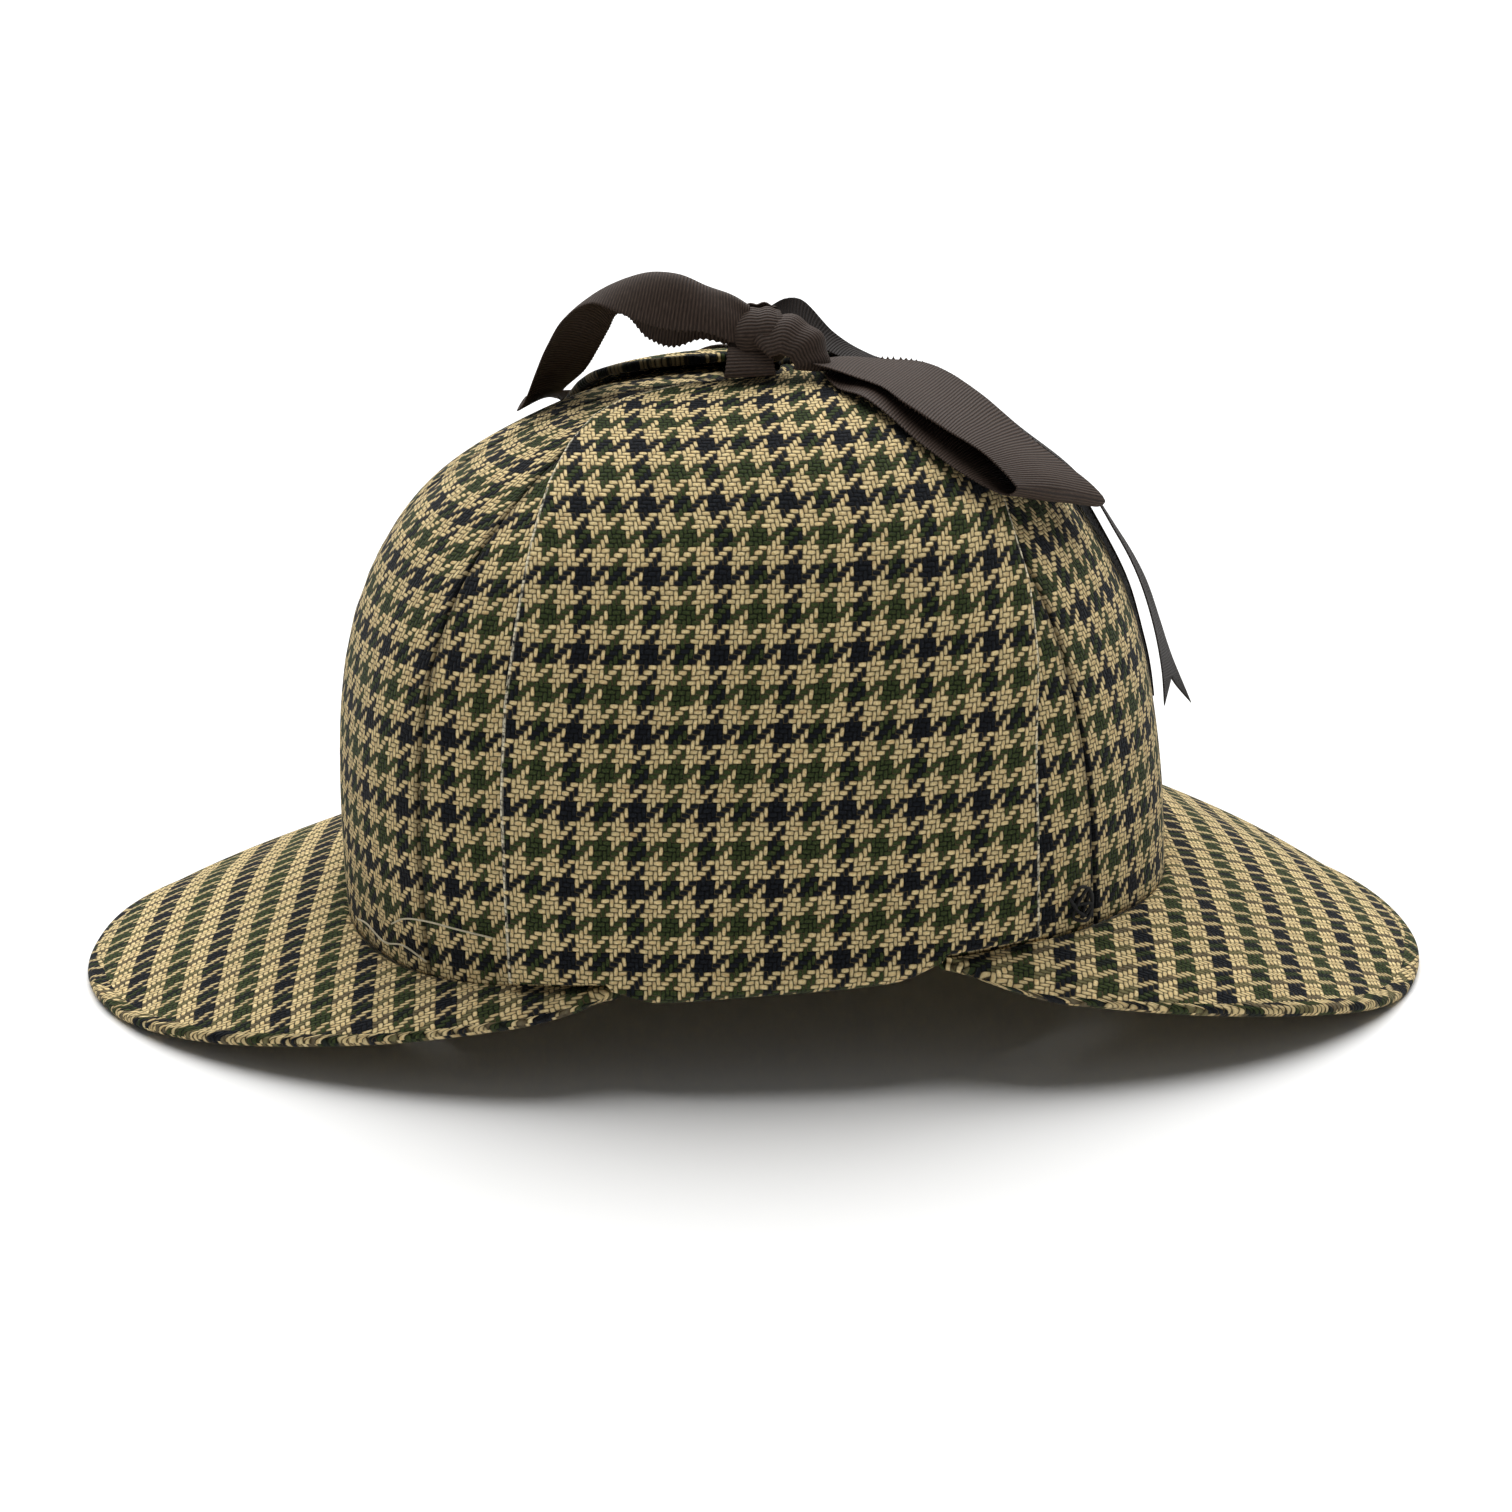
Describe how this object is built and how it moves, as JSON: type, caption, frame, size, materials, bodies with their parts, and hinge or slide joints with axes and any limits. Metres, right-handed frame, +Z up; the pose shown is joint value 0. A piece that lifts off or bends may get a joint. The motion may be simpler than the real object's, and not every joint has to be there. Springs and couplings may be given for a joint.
{
  "type": "deerstalker hat",
  "caption": "Soft cloth cap with a peak at the front and back, and ear flaps folded up over a gored crown and tied on top with ribbon.",
  "frame": {"origin": "centre of the bounding box's base, which is the surface that both peaks rest on", "axes": "+X from the front peak to the back peak, +Y toward the wearer's right, +Z up"},
  "size_m": [0.3414, 0.1756, 0.1739],
  "materials": {
    "tweed": "woven wool check in beige, green and near black",
    "ribbon": "ribbed dark brown ribbon with a slight sheen"
  },
  "bodies": {
    "root": {"crown_gore_1": "tweed", "crown_gore_2": "tweed", "crown_gore_3": "tweed", "crown_gore_4": "tweed", "crown_gore_5": "tweed", "crown_gore_6": "tweed", "crown_gore_7": "tweed", "crown_gore_8": "tweed", "front_peak": "tweed", "back_peak": "tweed", "left_ear_flap": "tweed", "right_ear_flap": "tweed", "bow_knot": "ribbon", "bow_loop_front": "ribbon", "bow_loop_back": "ribbon", "ribbon_tail_front": "ribbon", "ribbon_tail_back": "ribbon", "left_ribbon_stub": "ribbon", "right_ribbon_stub": "ribbon"}
  },
  "joints": []
}
